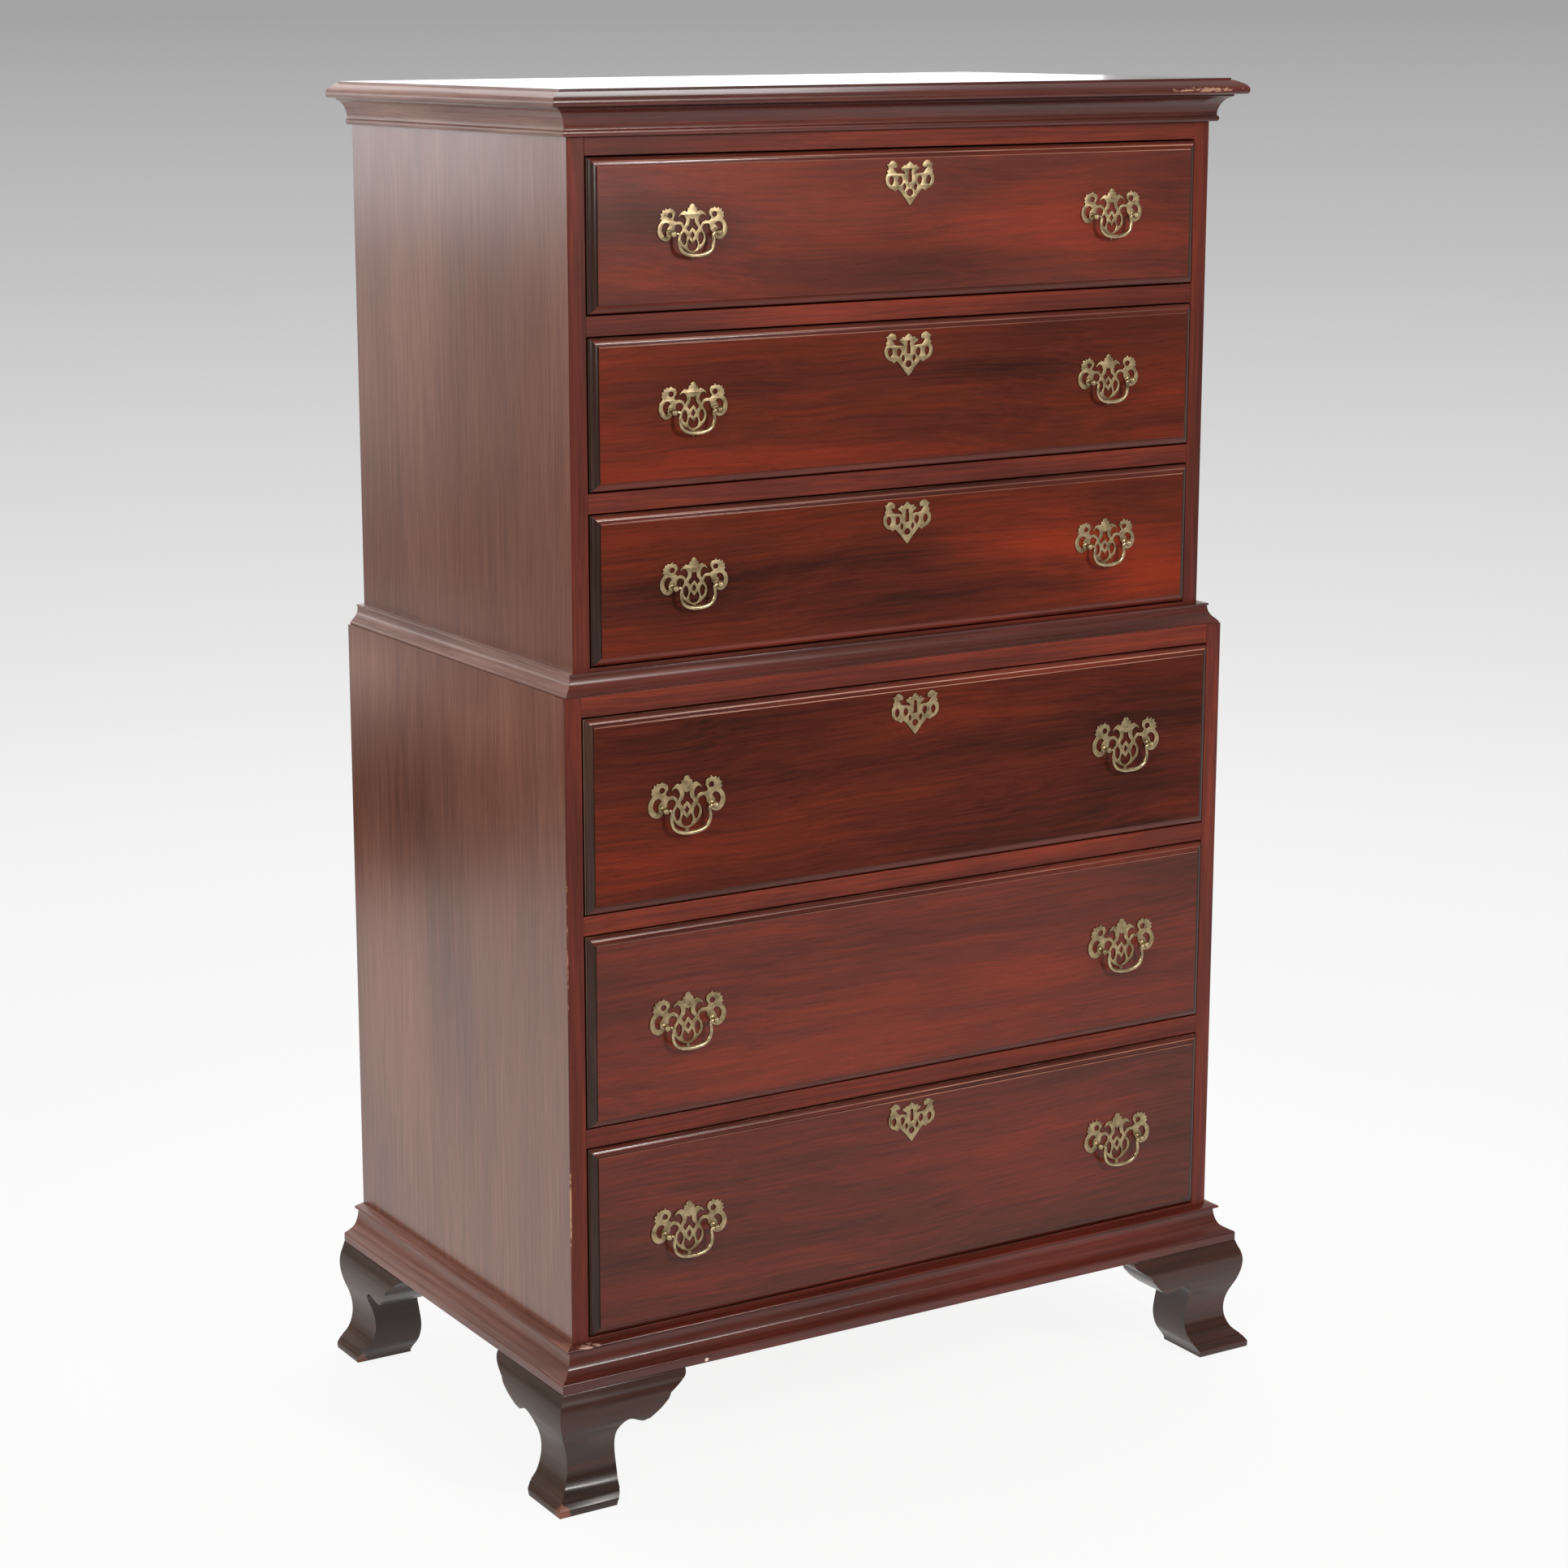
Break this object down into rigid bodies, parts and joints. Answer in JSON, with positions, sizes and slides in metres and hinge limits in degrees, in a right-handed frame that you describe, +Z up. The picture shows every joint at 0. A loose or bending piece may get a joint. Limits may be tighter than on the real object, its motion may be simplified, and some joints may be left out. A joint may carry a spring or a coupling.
{
  "type": "chest on chest",
  "caption": "Tall two-case mahogany chest with full-width moulded drawers, brass bail pulls, a cornice, a waist moulding and ogee bracket feet.",
  "frame": {"origin": "on the floor, under the middle of the bounding box", "axes": "+X to the viewer's right, -Y out of the drawer fronts, +Z up"},
  "size_m": [0.998, 0.6, 1.592],
  "materials": {
    "mahogany_frame": "polished reddish mahogany",
    "mahogany_side": "satin faded mahogany with upright grain",
    "mahogany_top": "polished mahogany",
    "mahogany_moulding": "polished dark mahogany",
    "mahogany_front": "polished figured mahogany",
    "mahogany_foot": "polished dark mahogany, worn at the pads",
    "secondary_wood": "plain unfinished drawer and carcass wood",
    "brass": "aged antique brass"
  },
  "bodies": {
    "case": {"lower_face_frame": "mahogany_frame", "lower_side_left": "mahogany_side", "lower_side_right": "mahogany_side", "lower_bottom": "secondary_wood", "lower_back": "secondary_wood", "upper_face_frame": "mahogany_frame", "upper_side_left": "mahogany_side", "upper_side_right": "mahogany_side", "upper_bottom": "secondary_wood", "upper_back": "secondary_wood", "lower_top": "secondary_wood", "top_board": "mahogany_top", "cornice_moulding": "mahogany_moulding", "waist_moulding": "mahogany_moulding", "base_moulding": "mahogany_moulding", "foot_front_left": "mahogany_foot", "foot_front_right": "mahogany_foot", "foot_rear_left": "mahogany_foot", "foot_rear_right": "mahogany_foot"},
    "drawer_1": {"drawer_1_front": "mahogany_front", "drawer_1_box": "secondary_wood", "drawer_1_backplate_left": "brass", "drawer_1_backplate_right": "brass", "drawer_1_escutcheon": "brass"},
    "drawer_1_bail_left": {"drawer_1_bail_left": "brass"},
    "drawer_1_bail_right": {"drawer_1_bail_right": "brass"},
    "drawer_2": {"drawer_2_front": "mahogany_front", "drawer_2_box": "secondary_wood", "drawer_2_backplate_left": "brass", "drawer_2_backplate_right": "brass", "drawer_2_escutcheon": "brass"},
    "drawer_2_bail_left": {"drawer_2_bail_left": "brass"},
    "drawer_2_bail_right": {"drawer_2_bail_right": "brass"},
    "drawer_3": {"drawer_3_front": "mahogany_front", "drawer_3_box": "secondary_wood", "drawer_3_backplate_left": "brass", "drawer_3_backplate_right": "brass", "drawer_3_escutcheon": "brass"},
    "drawer_3_bail_left": {"drawer_3_bail_left": "brass"},
    "drawer_3_bail_right": {"drawer_3_bail_right": "brass"},
    "drawer_4": {"drawer_4_front": "mahogany_front", "drawer_4_box": "secondary_wood", "drawer_4_backplate_left": "brass", "drawer_4_backplate_right": "brass", "drawer_4_escutcheon": "brass"},
    "drawer_4_bail_left": {"drawer_4_bail_left": "brass"},
    "drawer_4_bail_right": {"drawer_4_bail_right": "brass"},
    "drawer_5": {"drawer_5_front": "mahogany_front", "drawer_5_box": "secondary_wood", "drawer_5_backplate_left": "brass", "drawer_5_backplate_right": "brass"},
    "drawer_5_bail_left": {"drawer_5_bail_left": "brass"},
    "drawer_5_bail_right": {"drawer_5_bail_right": "brass"},
    "drawer_6": {"drawer_6_front": "mahogany_front", "drawer_6_box": "secondary_wood", "drawer_6_backplate_left": "brass", "drawer_6_backplate_right": "brass", "drawer_6_escutcheon": "brass"},
    "drawer_6_bail_left": {"drawer_6_bail_left": "brass"},
    "drawer_6_bail_right": {"drawer_6_bail_right": "brass"}
  },
  "joints": [
    {"name": "drawer_1_slide", "type": "slide", "parent": "case", "child": "drawer_1", "axis": [0, -1, 0], "range_m": [0, 0.38]},
    {"name": "drawer_1_bail_left_hinge", "type": "hinge", "parent": "drawer_1", "child": "drawer_1_bail_left", "pos_m": [-0.285, -0.2563, 1.43584], "axis": [-1, 0, 0], "range_deg": [-8, 170]},
    {"name": "drawer_1_bail_right_hinge", "type": "hinge", "parent": "drawer_1", "child": "drawer_1_bail_right", "pos_m": [0.285, -0.2563, 1.43584], "axis": [-1, 0, 0], "range_deg": [-8, 170]},
    {"name": "drawer_2_slide", "type": "slide", "parent": "case", "child": "drawer_2", "axis": [0, -1, 0], "range_m": [0, 0.38]},
    {"name": "drawer_2_bail_left_hinge", "type": "hinge", "parent": "drawer_2", "child": "drawer_2_bail_left", "pos_m": [-0.285, -0.2563, 1.24216], "axis": [-1, 0, 0], "range_deg": [-8, 170]},
    {"name": "drawer_2_bail_right_hinge", "type": "hinge", "parent": "drawer_2", "child": "drawer_2_bail_right", "pos_m": [0.285, -0.2563, 1.24216], "axis": [-1, 0, 0], "range_deg": [-8, 170]},
    {"name": "drawer_3_slide", "type": "slide", "parent": "case", "child": "drawer_3", "axis": [0, -1, 0], "range_m": [0, 0.38]},
    {"name": "drawer_3_bail_left_hinge", "type": "hinge", "parent": "drawer_3", "child": "drawer_3_bail_left", "pos_m": [-0.285, -0.2563, 1.04711], "axis": [-1, 0, 0], "range_deg": [-8, 170]},
    {"name": "drawer_3_bail_right_hinge", "type": "hinge", "parent": "drawer_3", "child": "drawer_3_bail_right", "pos_m": [0.285, -0.2563, 1.04711], "axis": [-1, 0, 0], "range_deg": [-8, 170]},
    {"name": "drawer_4_slide", "type": "slide", "parent": "case", "child": "drawer_4", "axis": [0, -1, 0], "range_m": [0, 0.4]},
    {"name": "drawer_4_bail_left_hinge", "type": "hinge", "parent": "drawer_4", "child": "drawer_4_bail_left", "pos_m": [-0.3075, -0.2763, 0.801], "axis": [-1, 0, 0], "range_deg": [-8, 170]},
    {"name": "drawer_4_bail_right_hinge", "type": "hinge", "parent": "drawer_4", "child": "drawer_4_bail_right", "pos_m": [0.3075, -0.2763, 0.801], "axis": [-1, 0, 0], "range_deg": [-8, 170]},
    {"name": "drawer_5_slide", "type": "slide", "parent": "case", "child": "drawer_5", "axis": [0, -1, 0], "range_m": [0, 0.4]},
    {"name": "drawer_5_bail_left_hinge", "type": "hinge", "parent": "drawer_5", "child": "drawer_5_bail_left", "pos_m": [-0.3075, -0.2763, 0.5495], "axis": [-1, 0, 0], "range_deg": [-8, 170]},
    {"name": "drawer_5_bail_right_hinge", "type": "hinge", "parent": "drawer_5", "child": "drawer_5_bail_right", "pos_m": [0.3075, -0.2763, 0.5495], "axis": [-1, 0, 0], "range_deg": [-8, 170]},
    {"name": "drawer_6_slide", "type": "slide", "parent": "case", "child": "drawer_6", "axis": [0, -1, 0], "range_m": [0, 0.4]},
    {"name": "drawer_6_bail_left_hinge", "type": "hinge", "parent": "drawer_6", "child": "drawer_6_bail_left", "pos_m": [-0.3075, -0.2763, 0.30048], "axis": [-1, 0, 0], "range_deg": [-8, 170]},
    {"name": "drawer_6_bail_right_hinge", "type": "hinge", "parent": "drawer_6", "child": "drawer_6_bail_right", "pos_m": [0.3075, -0.2763, 0.30048], "axis": [-1, 0, 0], "range_deg": [-8, 170]}
  ]
}
